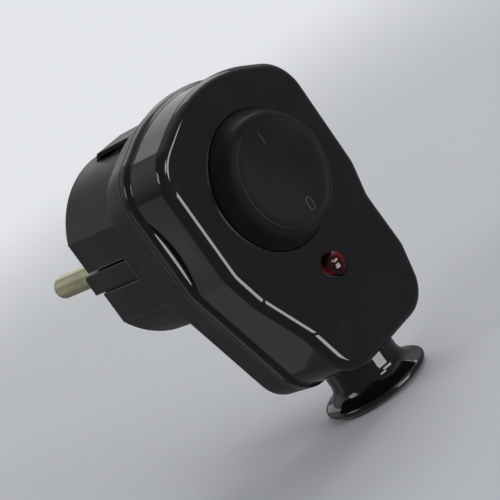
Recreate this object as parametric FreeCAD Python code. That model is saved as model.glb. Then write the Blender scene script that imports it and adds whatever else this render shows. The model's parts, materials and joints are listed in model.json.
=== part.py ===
import FreeCAD, Part
import math
import os

# Switched angle plug: round plug body with two pins, a flat handle at right angles to the
# pins, a rocker switch under a rubber boot, a neon lamp and a flared cable bell.
# Frame in millimetres: the pins point along +Y, +Z is up as the plug sits in a wall socket,
# the cable leaves along -Z, and the origin is the middle of the pin face.

os.makedirs("parts", exist_ok=True)

# Clearances
slideGap = 0.2
screwGap = 0.05
pinHoleGap = 0.05
pivotGap = 0.05
softGap = 0.15

# Levels along the plug axis, counted from the pin face towards the front
rimSetback = 3.0
bodyLength = 22.3
flangeThickness = 6.0
coverDepth = 12.5
coverRise = 3.5

# Round plug body
bodyRadius = 19.3
flatHalfWidth = 16.9
bodyWall = 2.2
mouthLip = 1.2
slotWidth = 5.0
slotLength = 12.7

# Pins and their carrier
pinPitch = 19.0
pinRadius = 2.4
pinLength = 19.0
pinTipRound = 1.6
pinNeckRadius = 2.0
pinEntryGap = 0.3
pinNeckLength = 1.2
pinCollarRadius = 3.2
pinHeadRadius = 3.9
pinHeadLength = 7.5
carrierDisc = 3.0
carrierBossLength = 5.3
carrierBossWall = 1.3
faceIslandHeight = 12.0
tongueHeight = 4.3
tongueReach = 16.25
tongueThickness = 2.6
tongueDrop = 0.25

# Earth parts
earthHoleHeight = 10.0
earthBoreRadius = 2.45
earthSleeveWall = 0.85
earthSleeveFloor = 1.0
earthScrewHeight = -8.0
earthPostRadius = 3.2
strapThickness = 0.8
strapWidth = 7.0
strapProud = 1.1
strapStandoff = 1.4
strapBend = 1.0
strapTipInset = 6.0
strapTuck = 1.4
channelDepth = 1.3
channelRunout = 0.6

# Housing outline, seen from the front: it stands out all round the plug body
sideOverhang = 2.3
topOverhang = 3.6
topTangent = 25.0
topStraight = 3.5
cornerRadius = 9.8
taperStart = -8.3
taperRadius = 9.0
endHalfWidth = 13.7
outlineEnd = -37.6
endCornerRadius = 7.9
trayDraft = 1.5
housingWall = 2.2
frontWall = 2.0

# Front cover
beadHeight = 2.3
beadRound = 0.9
wallInset = 0.7
faceFillet = 1.9
riseTop = -14.8
riseBottom = -25.5
foldRadius = 3.0
registerDepth = 1.2
registerWall = 1.0
smallBossWall = 1.0

# Switch button and boot
buttonHeight = 0.7
ringRadius = 13.75
collarWidth = 1.6
collarHeight = 0.35
bootRadius = 13.45
bootTopRadius = 11.7
bootHeight = 4.6
bootShoulder = 2.4
bootFoot = 0.3
bootFootRound = 1.0
bootCrown = 0.3
bootWall = 1.3
bootFlangeRadius = 15.6
bootFlangeThickness = 1.2
retainerThickness = 2.0
retainerRadius = 16.2
retainerBore = 11.9

# Rocker and contacts
rockerTilt = 7.0
rockerPadRadius = 9.4
rockerPadThickness = 2.4
rockerStemWidth = 16.4
rockerStemDepth = 6.6
trunnionRadius = 1.5
trunnionReach = 10.8
pivotBehindPlate = 0.1
cheekWall = 1.0
poleSpacing = 13.0
plungerRadius = 1.2
plungerLength = 3.4
plungerOut = 0.9
springLength = 4.0
springWire = 0.35
leverWidth = 3.4
leverThickness = 0.8
leverGap = 0.1
contactRadius = 1.2
contactThickness = 0.5
contactReach = 6.2
fulcrumHalf = 1.2

# Switch base
basePlate = 1.4
basePlateHalf = (16.9, 14.4)
baseBoxHalf = (11.0, 9.0)
baseBoxDepth = 9.1
baseWall = 1.2
baseFloor = 1.5
baseScrewSpread = (14.2, 12.0)
stripWidth = 4.0
stripThickness = 0.8
stripStandoff = 1.6
stripBend = 0.9
footReach = 3.0
terminalReach = 8.0
terminalLength = 6.0
terminalBlock = 4.5
terminalSide = 0.6
wireHoleRadius = 1.2

# Neon lamp
lampHeight = -19.2
lensRadius = 2.45
lensProud = 1.9
lensDome = 1.7
lensSeatDepth = 0.3
lensFlangeRadius = 3.4
lensFlange = 0.9
lensWall = 0.55
neonRadius = 1.55
neonLength = 8.0
neonGap = 0.4
resistorRadius = 1.2
resistorLength = 6.5
resistorStart = 1.9
leadRadius = 0.3
leadSpread = 0.6
leadInset = 1.0

# Cable entry
cableDrop = 4.0
cableRadius = 4.3
bellNeckRadius = 7.5
bellRimRadius = 11.1
bellEnd = -45.3
bellBore = 4.75
bellLip = 1.5
bellWall = 2.0
bellCollarLip = 0.95
bellCollar = 1.3
bellStraight = 2.6
clampHeight = -25.0
clampSpread = 8.0
clampSeat = 1.7
clampBarWidth = 4.6
clampBarThickness = 1.8
clampArch = 4.2
clampArchRound = 1.5
clampPostRadius = 2.7
saddleDepth = 1.5
saddleThickness = 2.0

# Screws: the large ones for housing, pins, earth and clamp, the small ones inside
screwRadius = 1.45
screwHeadRadius = 2.6
screwHead = 1.4
smallScrewRadius = 1.2
smallHeadRadius = 2.1
smallHead = 1.2
housingScrewPlace = (9.0, -30.5)
bossWall = 0.9
housingScrewLength = 12.0
pinScrewLength = 5.8
earthScrewLength = 8.0
clampScrewLength = 8.8
baseScrewLength = 4.2
terminalScrewLength = 1.9
screwHoleSpare = 0.3

# Shares of a screw's head and shank
headRoundShare = 0.45
tipRoundShare = 0.4
crossWidthShare = 0.35
crossDepthShare = 0.6
crossLengthShare = 1.3

# Small edge roundings and seats
rimRound = 0.4
flangeRound = 0.4
tongueRound = 1.2
smallRound = 0.4
tinyRound = 0.2
seatGap = 0.1
joinDepth = 0.5

# Outline sizes worked out from the values above; the top arc ends where its straight run begins
outlineHalfWidth = bodyRadius + sideOverhang
outlineTop = bodyRadius + topOverhang
topAngle = math.radians(topTangent)
cornerRun = cornerRadius * math.tan(math.radians(90 - topTangent) / 2) * math.cos(topAngle)
outlineTopRadius = (outlineHalfWidth - cornerRun - topStraight) / math.sin(topAngle)
bellCollarRadius = bellNeckRadius + bellCollarLip

# Levels along Y worked out from the values above
rimY = -rimSetback
flangeBackY = rimY - bodyLength
partingY = flangeBackY - flangeThickness
faceY = partingY - coverDepth
lowFaceY = faceY - coverRise
floorY = flangeBackY - housingWall
discY = rimY - mouthLip
discRearY = discY - carrierDisc
bossRearY = discRearY - carrierBossLength
pinRearY = bossRearY - pinHeadLength
strapY = pinRearY - strapStandoff
innerFaceY = faceY + frontWall
retainerY = innerFaceY + bootFlangeThickness
plateY = retainerY + retainerThickness
plateRearY = plateY + basePlate
boxRearY = plateY + baseBoxDepth
baseFloorY = boxRearY - baseFloor
pivotY = plateY + pivotBehindPlate
cableY = partingY - cableDrop
stripFrontY = baseFloorY - stripThickness
contactStroke = (contactReach + contactRadius) * math.sin(math.radians(rockerTilt)) + pivotGap
leverRestY = stripFrontY - contactStroke - contactThickness
stemRearY = leverRestY - leverThickness - leverGap - plungerOut
plungerTipY = stemRearY + plungerOut
plungerBackY = plungerTipY - plungerLength
springEndY = plungerBackY - springLength
clampSeatY = cableY - clampSeat

X = FreeCAD.Vector(1, 0, 0)
Y = FreeCAD.Vector(0, 1, 0)
Z = FreeCAD.Vector(0, 0, 1)


def vec(x, y, z):
    return FreeCAD.Vector(x, y, z)


def cylinderY(radius, yLow, yHigh, x=0.0, z=0.0):
    return Part.makeCylinder(radius, yHigh - yLow, vec(x, yLow, z), Y)


def cylinderX(radius, xLow, xHigh, y, z):
    return Part.makeCylinder(radius, xHigh - xLow, vec(xLow, y, z), X)


def block(xLow, xHigh, yLow, yHigh, zLow, zHigh):
    return Part.makeBox(xHigh - xLow, yHigh - yLow, zHigh - zLow, vec(xLow, yLow, zLow))


def join(shapes):
    solid = shapes[0]
    for shape in shapes[1:]:
        solid = solid.fuse(shape)
    return solid.removeSplitter()


def save(node, shape):
    """Write one sub-part and say how many solids it has."""
    solids = shape.Solids
    print(node, len(solids), "solid(s)", round(sum(s.Volume for s in solids), 1), "mm3",
          "valid" if shape.isValid() else "INVALID")
    whole = solids[0] if len(solids) == 1 else Part.makeCompound(solids)
    whole.exportStep("parts/" + node + ".step")


def insetCorners(corners, inset):
    """Move every side of a convex polygon, listed clockwise, inwards by inset."""
    count = len(corners)
    moved = []
    for i in range(count):
        before, here, after = corners[i - 1], corners[i], corners[(i + 1) % count]
        lines = []
        for start, end in ((before, here), (here, after)):
            dx, dz = end[0] - start[0], end[1] - start[1]
            length = math.hypot(dx, dz)
            normal = (dz / length, -dx / length)
            lines.append((start[0] + normal[0] * inset, start[1] + normal[1] * inset, dx, dz))
        (ax, az, adx, adz), (bx, bz, bdx, bdz) = lines
        cross = adx * bdz - adz * bdx
        t = ((bx - ax) * bdz - (bz - az) * bdx) / cross
        moved.append((ax + adx * t, az + adz * t))
    return moved


def roundedWire(corners, radii, place):
    """Closed wire through rounded corners; place turns (a, b) into a point in space."""
    count = len(corners)
    edges = []
    starts, ends, middles = [], [], []
    for i in range(count):
        before, here, after = corners[i - 1], corners[i], corners[(i + 1) % count]
        u = (before[0] - here[0], before[1] - here[1])
        v = (after[0] - here[0], after[1] - here[1])
        lu, lv = math.hypot(*u), math.hypot(*v)
        u = (u[0] / lu, u[1] / lu)
        v = (v[0] / lv, v[1] / lv)
        half = math.acos(max(-1.0, min(1.0, u[0] * v[0] + u[1] * v[1]))) / 2
        tangent = radii[i] / math.tan(half)
        bisector = (u[0] + v[0], u[1] + v[1])
        lb = math.hypot(*bisector)
        reach = radii[i] / math.sin(half) - radii[i]
        starts.append((here[0] + u[0] * tangent, here[1] + u[1] * tangent))
        ends.append((here[0] + v[0] * tangent, here[1] + v[1] * tangent))
        middles.append((here[0] + bisector[0] / lb * reach, here[1] + bisector[1] / lb * reach))
    for i in range(count):
        if radii[i] > 0:
            edges.append(Part.Arc(place(*starts[i]), place(*middles[i]), place(*ends[i])).toShape())
        following = (i + 1) % count
        edges.append(Part.makeLine(place(*ends[i]), place(*starts[following])))
    return Part.Wire(edges)


def outlineWire(inset, y, lowered=0.0):
    """The housing's outline at level y, moved inwards by inset, its top lowered if wanted."""
    apex = outlineTop - lowered + outlineTopRadius * (1 / math.cos(topAngle) - 1)
    shoulder = apex - outlineHalfWidth * math.tan(topAngle)
    corners = [(0.0, apex), (outlineHalfWidth, shoulder), (outlineHalfWidth, taperStart),
               (endHalfWidth, outlineEnd), (-endHalfWidth, outlineEnd),
               (-outlineHalfWidth, taperStart), (-outlineHalfWidth, shoulder)]
    radii = [outlineTopRadius, cornerRadius, taperRadius, endCornerRadius,
             endCornerRadius, taperRadius, cornerRadius]
    return roundedWire(insetCorners(corners, inset), [r - inset for r in radii], lambda x, z: vec(x, y, z))


def outlinePrism(inset, yLow, yHigh):
    """The housing's outline, moved inwards by inset, as a prism between two Y levels."""
    return Part.Face(outlineWire(inset, yLow)).extrude(vec(0, yHigh - yLow, 0))


def trayBlock():
    """The handle's rear part: its top slopes back from the joint to the flange."""
    wires = [outlineWire(0, partingY), outlineWire(0, flangeBackY, trayDraft)]
    return Part.makeLoft(wires, True, True)


def bodyPrism(inset, yLow, yHigh):
    """The round plug body with its two side flats, moved inwards by inset."""
    round = cylinderY(bodyRadius - inset, yLow, yHigh)
    half = flatHalfWidth - inset
    return round.common(block(-half, half, yLow, yHigh, -bodyRadius, bodyRadius))


def roofPrism(drop):
    """Everything behind the cover's stepped front face, lowered by drop."""
    top, bottom = outlineTop + 5, outlineEnd - 5
    corners = [(faceY + drop, top), (faceY + drop, riseTop), (lowFaceY + drop, riseBottom),
               (lowFaceY + drop, bottom), (flangeBackY, bottom), (flangeBackY, top)]
    radii = [0, foldRadius, foldRadius, 0, 0, 0]
    wire = roundedWire(corners, radii, lambda y, z: vec(-outlineHalfWidth - 1, y, z))
    return Part.Face(wire).extrude(vec(2 * outlineHalfWidth + 2, 0, 0))


def edgesAt(shape, test):
    return [edge for edge in shape.Edges if test(edge)]


def onLevel(edge, y):
    box = edge.BoundBox
    return abs(box.YMin - y) < 1e-4 and abs(box.YMax - y) < 1e-4


def turned(corners, radii, x=0.0, z=0.0):
    """Solid of revolution about the line along Y through (x, z); corners are (radius, y)."""
    wire = roundedWire(corners, radii, lambda r, y: vec(x + r, y, z))
    return Part.Face(wire).revolve(vec(x, 0, z), Y, 360)


def offsetPath(points, distance):
    """An open path moved sideways, to its left, by distance."""
    moved = []
    for i, here in enumerate(points):
        before = points[max(i - 1, 0)]
        after = points[min(i + 1, len(points) - 1)]
        normals = []
        for start, end in ((before, here), (here, after)):
            length = math.hypot(end[0] - start[0], end[1] - start[1])
            if length > 0:
                normals.append(((start[1] - end[1]) / length, (end[0] - start[0]) / length))
        nx = sum(n[0] for n in normals)
        ny = sum(n[1] for n in normals)
        reach = distance / (nx * normals[0][0] + ny * normals[0][1])
        moved.append((here[0] + nx * reach, here[1] + ny * reach))
    return moved


def bentStrip(points, bend, thickness, xLow, xHigh):
    """Sheet metal strip bent along a path in the Y-Z plane; bend is its middle radius."""
    left = offsetPath(points, thickness / 2)
    right = offsetPath(points, -thickness / 2)
    leftRadii, rightRadii = [0.0], [0.0]
    for i in range(1, len(points) - 1):
        ax, ay = points[i][0] - points[i - 1][0], points[i][1] - points[i - 1][1]
        bx, by = points[i + 1][0] - points[i][0], points[i + 1][1] - points[i][1]
        side = 1 if ax * by - ay * bx > 0 else -1
        leftRadii.append(bend - side * thickness / 2)
        rightRadii.append(bend + side * thickness / 2)
    leftRadii.append(0.0)
    rightRadii.append(0.0)
    wire = roundedWire(left + right[::-1], leftRadii + rightRadii[::-1],
                       lambda y, z: vec(xLow, y, z))
    return Part.Face(wire).extrude(vec(xHigh - xLow, 0, 0))


def bentWire(points, radius):
    """Round wire through straight runs, with a ball at each bend."""
    shapes = []
    for start, end in zip(points, points[1:]):
        a, b = vec(*start), vec(*end)
        shapes.append(Part.makeCylinder(radius, (b - a).Length, a, b - a))
    for point in points[1:-1]:
        shapes.append(Part.makeSphere(radius, vec(*point)))
    return join(shapes)


def screw(x, z, seatY, reach, headSide, radius=screwRadius, headRadius=screwHeadRadius, head=screwHead):
    """Pan-head screw along Y with a cross slot; its head lies on headSide of seatY."""
    top = seatY + headSide * head
    corners = [(0, top), (headRadius, top), (headRadius, seatY), (radius, seatY),
               (radius, seatY - headSide * reach), (0, seatY - headSide * reach)]
    solid = turned(corners, [0, head * headRoundShare, 0, 0, radius * tipRoundShare, 0], x, z)
    slot = head * crossWidthShare
    yLow, yHigh = sorted((top, top - headSide * head * crossDepthShare))
    long = headRadius * crossLengthShare
    solid = solid.cut(block(x - long / 2, x + long / 2, yLow, yHigh, z - slot / 2, z + slot / 2))
    return solid.cut(block(x - slot / 2, x + slot / 2, yLow, yHigh, z - long / 2, z + long / 2))


# Places shared by several parts
pinX = pinPitch / 2
poleX = poleSpacing / 2
tongueLow = -tongueHeight / 2 - tongueDrop
tongueHigh = tongueHeight / 2 - tongueDrop
strapZ = bodyRadius + strapProud - strapThickness / 2
strapMidY = strapY - strapThickness / 2
boxBottomZ = buttonHeight - baseBoxHalf[1]
boxTopZ = buttonHeight + baseBoxHalf[1]
stripMidY = baseFloorY - stripThickness / 2
terminalEndZ = boxBottomZ - terminalReach
lensSlopeY = faceY - coverRise * (riseTop - lampHeight) / (riseTop - riseBottom)
lensTopY = lensSlopeY - lensProud
lensSeatY = innerFaceY - lensSeatDepth
neonTipY = lensTopY + lensWall + neonGap
neonEndY = neonTipY + neonLength
leadY = stripFrontY - terminalBlock - leadRadius
leadPadZ = terminalEndZ + leadInset
coverInset = wallInset + housingWall
housingBoss = screwRadius + screwGap + bossWall
housingScrews = [(housingScrewPlace[0], housingScrewPlace[1]), (-housingScrewPlace[0], housingScrewPlace[1])]
baseScrews = [(x, buttonHeight + z) for x in (-baseScrewSpread[0], baseScrewSpread[0])
              for z in (-baseScrewSpread[1], baseScrewSpread[1])]
collarUnder = outlineEnd + coverInset + seatGap


def neckHole(radius, zLow, zHigh):
    return Part.makeCylinder(radius, zHigh - zLow, vec(0, cableY, zLow), Z)


def rearHousing():
    """Plug cup with side flats, open at the mouth, and the shallow tray that carries the handle."""
    solid = join([trayBlock(), bodyPrism(0, flangeBackY, rimY)])
    solid = solid.cut(outlinePrism(housingWall, partingY - 1, floorY))
    solid = solid.cut(bodyPrism(bodyWall, floorY - 1, discY))
    solid = solid.cut(bodyPrism(bodyWall + mouthLip, discY - 1, rimY + 1))
    saddle = block(-clampSpread, clampSpread, cableY + saddleDepth, floorY,
                   clampHeight - saddleThickness / 2, clampHeight + saddleThickness / 2)
    groove = neckHole(cableRadius, clampHeight - saddleThickness, clampHeight + saddleThickness)
    additions = [saddle.cut(groove)]
    for x, z in housingScrews:
        additions.append(cylinderY(housingBoss, partingY, floorY, x, z))
    for x in (clampSpread, -clampSpread):
        additions.append(cylinderY(clampPostRadius, clampSeatY, floorY, x, clampHeight))
    solid = join([solid] + additions)
    headSeatY = flangeBackY - screwHead
    for x, z in housingScrews:
        solid = solid.cut(cylinderY(screwRadius + screwGap, partingY - 1, flangeBackY + 1, x, z))
        solid = solid.cut(cylinderY(screwHeadRadius + slideGap, headSeatY, flangeBackY + 1, x, z))
    for x in (clampSpread, -clampSpread):
        solid = solid.cut(cylinderY(screwRadius + screwGap, clampSeatY - 1, floorY, x, clampHeight))
    solid = solid.cut(neckHole(bellNeckRadius + softGap, outlineEnd - 1, outlineEnd + housingWall + 1))
    half = slotWidth / 2
    for side in (1, -1):
        xLow, xHigh = sorted((side * (flatHalfWidth - bodyWall - mouthLip - 1), side * (flatHalfWidth + 1)))
        solid = solid.cut(block(xLow, xHigh, rimY - slotLength, rimY + 1, -half, half))
    solid = cutEarthChannels(solid)
    solid = solid.makeFillet(rimRound, edgesAt(solid, lambda e: onLevel(e, rimY) and onBodyContour(e)))
    return solid.makeFillet(flangeRound, edgesAt(solid, lambda e: onLevel(e, flangeBackY) and outsideBody(e)))


def middleOf(edge):
    return edge.valueAt((edge.FirstParameter + edge.LastParameter) / 2)


def onBodyContour(edge):
    """True for edges on the outer contour of the round plug body."""
    middle = middleOf(edge)
    return abs(middle.x) > flatHalfWidth - 0.01 or math.hypot(middle.x, middle.z) > bodyRadius - 0.01


def outsideBody(edge):
    """True for edges of the handle's outline, which lie outside the plug body."""
    middle = middleOf(edge)
    isRound = edge.Curve.TypeId == "Part::GeomCircle"
    small = isRound and edge.Curve.Radius < screwHeadRadius + 1
    return math.hypot(middle.x, middle.z) > bodyRadius + 0.5 and not small


def cutEarthChannels(solid):
    """Shallow channels for the two side contacts, with a slot where each comes out."""
    half = strapWidth / 2 + slideGap
    for side in (1, -1):
        zLow, zHigh = sorted((side * (bodyRadius - channelDepth), side * (bodyRadius + 1)))
        channelEnd = rimY - strapTipInset + channelRunout
        slotBack = strapMidY - strapThickness / 2 - slideGap
        solid = solid.cut(block(-half, half, slotBack, channelEnd, zLow, zHigh))
        zLow, zHigh = sorted((side * (bodyRadius - bodyWall - 1), side * bodyRadius))
        solid = solid.cut(block(-half, half, slotBack, strapMidY + strapThickness / 2 + slideGap,
                                zLow, zHigh))
    return solid


def frontCover():
    """Deep gloss shell: rounded bead at the joint, plain wall, stepped front face with a collar."""
    beadY = partingY - beadHeight
    wall = outlinePrism(wallInset, lowFaceY - 1, beadY).common(roofPrism(0))
    faceEdges = edgesAt(wall, lambda e: e.BoundBox.YMax < faceY + 0.5 and not acrossFace(e))
    wall = wall.makeFillet(faceFillet, faceEdges)
    bead = outlinePrism(0, beadY, partingY)
    bead = bead.makeFillet(beadRound, edgesAt(bead, lambda e: onLevel(e, beadY)))
    cavity = outlinePrism(coverInset, lowFaceY - 1, partingY + 1).common(roofPrism(frontWall))
    solid = wall.fuse(bead).cut(cavity)
    collarRadius = ringRadius + collarWidth
    collar = Part.makeCone(collarRadius - collarHeight, collarRadius + collarHeight, 2 * collarHeight,
                           vec(0, faceY - collarHeight, buttonHeight), Y)
    additions = [collar, registerSkirt()]
    for x, z in baseScrews:
        additions.append(cylinderY(smallScrewRadius + smallBossWall, faceY + frontWall / 2, plateY, x, z))
    for x, z in housingScrews:
        additions.append(cylinderY(housingBoss, lowFaceY + frontWall / 2, partingY, x, z))
    lensSeat = cylinderY(lensFlangeRadius + smallBossWall, lowFaceY, lensSeatY, 0, lampHeight)
    additions.append(lensSeat.common(roofPrism(frontWall / 2)))
    solid = join([solid] + additions)
    solid = solid.cut(cylinderY(ringRadius, faceY - 2, innerFaceY + joinDepth, 0, buttonHeight))
    solid = solid.cut(cylinderY(lensRadius + pivotGap, lowFaceY - 1, lensSeatY + 1, 0, lampHeight))
    for x, z in baseScrews:
        solid = solid.cut(cylinderY(smallScrewRadius + screwGap, innerFaceY + seatGap, plateY + 1, x, z))
    for x, z in housingScrews:
        solid = solid.cut(cylinderY(screwRadius + screwGap, lowFaceY + frontWall + 1, partingY + 1, x, z))
    return solid.cut(neckHole(bellNeckRadius + softGap, outlineEnd - 1, collarUnder))


def registerSkirt():
    """Thin wall that centres the cover in the rear tray, open for the screw bosses and the bell."""
    skirt = outlinePrism(housingWall + slideGap, partingY - 1, partingY + registerDepth)
    skirt = skirt.cut(outlinePrism(housingWall + slideGap + registerWall, partingY - 2,
                                   partingY + registerDepth + 1))
    for x, z in housingScrews:
        skirt = skirt.cut(cylinderY(housingBoss + slideGap, partingY - 2, floorY, x, z))
    return skirt.cut(neckHole(bellCollarRadius + softGap, outlineEnd, clampHeight))


def acrossFace(edge):
    """True for the fold lines of the stepped face, which run straight across it."""
    box = edge.BoundBox
    return box.ZMax - box.ZMin < 1e-4 and box.XMin < -5 and box.XMax > 5 and box.ZMin > outlineEnd + 5


def pinCarrier():
    """Moulded plate behind the plug mouth: raised face, side tongues, pin and earth bosses."""
    disc = bodyPrism(bodyWall + slideGap, discRearY, discY)
    plug = bodyPrism(bodyWall + mouthLip + slideGap, discY - joinDepth, rimY)
    islandHalf = flatHalfWidth - bodyWall - mouthLip - slideGap
    high = faceIslandHeight / 2
    corners = [(-islandHalf, high), (islandHalf, high), (islandHalf, -high), (-islandHalf, -high)]
    wire = roundedWire(corners, [high - seatGap] * 4, lambda x, z: vec(x, rimY - joinDepth, z))
    island = Part.Face(wire).extrude(vec(0, rimSetback + joinDepth, 0))
    pieces = [disc, plug, island]
    for side in (1, -1):
        inner = tongueReach - tongueThickness
        xLow, xHigh = sorted((side * inner, side * tongueReach))
        leg = block(xLow, xHigh, rimY - slotLength + slideGap, 0, tongueLow, tongueHigh)
        xLow, xHigh = sorted((side * (inner - 3), side * tongueReach))
        bridge = block(xLow, xHigh, rimY, 0, tongueLow, tongueHigh)
        tongue = join([leg, bridge])
        upper = edgesAt(tongue, lambda e: onLevel(e, 0) and abs(e.BoundBox.ZMin - tongueHigh) < 1e-4
                        and e.BoundBox.ZMax - e.BoundBox.ZMin < 1e-4)
        pieces.append(tongue.makeFillet(tongueRound, upper))
        pieces.append(cylinderY(pinCollarRadius + pinHoleGap + carrierBossWall, bossRearY, discRearY,
                                side * pinX))
    pieces.append(cylinderY(earthPostRadius, strapY, discRearY, 0, earthScrewHeight))
    solid = join(pieces)
    for x in (pinX, -pinX):
        solid = solid.cut(cylinderY(pinRadius + pinEntryGap, -pinNeckLength - 1, 1, x))
        solid = solid.cut(cylinderY(pinCollarRadius + pinHoleGap, bossRearY - 1, -pinNeckLength, x))
    solid = solid.cut(cylinderY(earthBoreRadius + pinEntryGap, discY - 1, 1, 0, earthHoleHeight))
    solid = solid.cut(cylinderY(earthBoreRadius + earthSleeveWall + pinHoleGap, discRearY - 1,
                                discY, 0, earthHoleHeight))
    return solid.cut(cylinderY(screwRadius + screwGap, strapY - 1, strapY + earthScrewLength + screwHoleSpare,
                               0, earthScrewHeight))


def pin(x):
    """Round plug pin with a rounded tip, a collar in the carrier and a tapped head."""
    corners = [(0, pinLength), (pinRadius, pinLength), (pinRadius, 0), (pinNeckRadius, 0),
               (pinNeckRadius, -pinNeckLength), (pinCollarRadius, -pinNeckLength),
               (pinCollarRadius, bossRearY), (pinHeadRadius, bossRearY), (pinHeadRadius, pinRearY),
               (0, pinRearY)]
    solid = turned(corners, [0, pinTipRound, 0, 0, 0, 0, 0, 0, smallRound, 0], x)
    return solid.cut(cylinderY(screwRadius + screwGap, pinRearY - 1, pinRearY + pinScrewLength, x))


def earthStrap():
    """One bent strip: cross bar inside the plug, a sprung side contact above and below."""
    tipY = rimY - strapTipInset
    tipZ = strapZ - strapTuck
    path = [(tipY, tipZ), (tipY - strapTuck, strapZ), (strapMidY, strapZ),
            (strapMidY, -strapZ), (tipY - strapTuck, -strapZ), (tipY, -tipZ)]
    strip = bentStrip(path, strapBend, strapThickness, -strapWidth / 2, strapWidth / 2)
    return strip.cut(cylinderY(screwRadius + screwGap, strapY - 3, strapY + 1, 0, earthScrewHeight))


def earthSocket():
    """Closed brass sleeve that takes the earth pin of a socket."""
    outer = cylinderY(earthBoreRadius + earthSleeveWall, strapY, discY, 0, earthHoleHeight)
    return outer.cut(cylinderY(earthBoreRadius, strapY + earthSleeveFloor, discY + 1, 0, earthHoleHeight))


def switchBase():
    """Open box for two see-saw contacts, with a mounting plate and two bearing cheeks."""
    halfX, halfZ = baseBoxHalf
    zLow, zHigh = boxBottomZ, boxTopZ
    room = outlinePrism(wallInset + housingWall + slideGap, plateY, plateRearY)
    plateHalfX, plateHalfZ = basePlateHalf
    plate = room.common(block(-plateHalfX, plateHalfX, plateY, plateRearY,
                              buttonHeight - plateHalfZ, buttonHeight + plateHalfZ))
    solid = join([plate, block(-halfX, halfX, plateY, boxRearY, zLow, zHigh)])
    innerX, innerLow, innerHigh = halfX - baseWall, zLow + baseWall, zHigh - baseWall
    solid = solid.cut(block(-innerX, innerX, plateY - 1, baseFloorY, innerLow, innerHigh))
    cheeks = []
    for side in (1, -1):
        xLow, xHigh = sorted((side * innerX, side * halfX))
        reach = trunnionRadius + cheekWall
        cheeks.append(block(xLow, xHigh, pivotY, plateRearY, buttonHeight - reach, buttonHeight + reach))
        cheeks.append(cylinderX(reach, xLow, xHigh, pivotY, buttonHeight))
    solid = join([solid] + cheeks)
    solid = solid.cut(cylinderX(trunnionRadius + pivotGap, -halfX - 1, halfX + 1, pivotY, buttonHeight))
    notch = stripWidth / 2 + slideGap
    notchY = stripFrontY - slideGap
    for x in (poleX, -poleX):
        solid = solid.cut(block(x - notch, x + notch, notchY, baseFloorY, zLow - 1, zHigh + 1))
    for x, z in baseScrews:
        solid = solid.cut(cylinderY(smallScrewRadius + screwGap, plateY - 1, plateRearY + 1, x, z))
    return solid


def rocker():
    """Round pad under the boot, a stem with two plunger bores and a pivot bar through it."""
    padTopY = faceY - bootHeight + bootWall + softGap
    pad = turned([(0, padTopY), (rockerPadRadius, padTopY), (rockerPadRadius, padTopY + rockerPadThickness),
                  (0, padTopY + rockerPadThickness)],
                 [0, rockerPadThickness / 2, rockerPadThickness / 4, 0], 0, buttonHeight)
    halfX, halfZ = rockerStemWidth / 2, rockerStemDepth / 2
    stem = block(-halfX, halfX, padTopY + 1, stemRearY, buttonHeight - halfZ, buttonHeight + halfZ)
    bar = cylinderX(trunnionRadius, -trunnionReach, trunnionReach, pivotY, buttonHeight)
    solid = join([pad, stem, bar])
    for x in (poleX, -poleX):
        solid = solid.cut(cylinderY(plungerRadius + pivotGap, springEndY, stemRearY + 1, x, buttonHeight))
    return solid


def plunger(x):
    """Round-nosed pin that slides in the rocker and presses on a see-saw contact."""
    corners = [(0, plungerBackY), (plungerRadius, plungerBackY), (plungerRadius, plungerTipY),
               (0, plungerTipY)]
    return turned(corners, [0, tinyRound, plungerRadius - seatGap, 0], x, buttonHeight)


def plungerSpring(x):
    """Envelope of the compression spring between the bore's end and the plunger."""
    sleeve = cylinderY(plungerRadius, springEndY, plungerBackY, x, buttonHeight)
    inner = plungerRadius - springWire
    return sleeve.cut(cylinderY(inner, springEndY - 1, plungerBackY + 1, x, buttonHeight))


def contactLever(x):
    """See-saw contact: flat lever with a round contact at its upper end."""
    half = leverWidth / 2
    length = contactReach + contactRadius
    bar = block(x - half, x + half, leverRestY - leverThickness, leverRestY,
                buttonHeight - length, buttonHeight + length)
    button = cylinderY(contactRadius, leverRestY, leverRestY + contactThickness, x,
                       buttonHeight + contactReach)
    return join([bar, button])


def lineTerminal(x):
    """Strip from the pin's head, past the switch base, to the fixed contact on its floor."""
    half = stripWidth / 2
    legZ = boxTopZ + stripStandoff
    path = [(pinRearY - stripThickness / 2, -footReach), (pinRearY - stripThickness / 2, legZ),
            (stripMidY, legZ), (stripMidY, buttonHeight + contactReach - 2 * contactRadius)]
    strip = bentStrip(path, stripBend, stripThickness, x - half, x + half)
    xLow, xHigh = sorted((x, math.copysign(pinX + footReach, x)))
    foot = block(xLow, xHigh, pinRearY - stripThickness, pinRearY, -footReach, footReach)
    hole = cylinderY(screwRadius + screwGap, pinRearY - 2, pinRearY + 1, math.copysign(pinX, x))
    return join([strip, foot]).cut(hole)


def loadTerminal(x):
    """Knife-edge rest for the see-saw contact, its strip and the screw terminal for a wire."""
    half = stripWidth / 2
    strip = block(x - half, x + half, stripFrontY, baseFloorY, terminalEndZ, buttonHeight + 2 * fulcrumHalf)
    corners = [(stripFrontY, buttonHeight - fulcrumHalf), (leverRestY + pivotGap, buttonHeight),
               (stripFrontY, buttonHeight + fulcrumHalf)]
    wire = roundedWire(corners, [0, 0, 0], lambda y, z: vec(x - half, y, z))
    wedge = Part.Face(wire).extrude(vec(stripWidth, 0, 0))
    blockHalf = half + terminalSide
    body = block(x - blockHalf, x + blockHalf, stripFrontY - terminalBlock, stripFrontY,
                 terminalEndZ, terminalEndZ + terminalLength)
    solid = join([strip, wedge, body])
    wireY = stripFrontY - terminalBlock / 2
    bore = Part.makeCylinder(wireHoleRadius, terminalLength + 2, vec(x, wireY, terminalEndZ - 1), Z)
    return solid.cut(bore).cut(cylinderY(smallScrewRadius + screwGap, wireY, baseFloorY + 1, x,
                                         terminalEndZ + terminalLength / 2))


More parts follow.
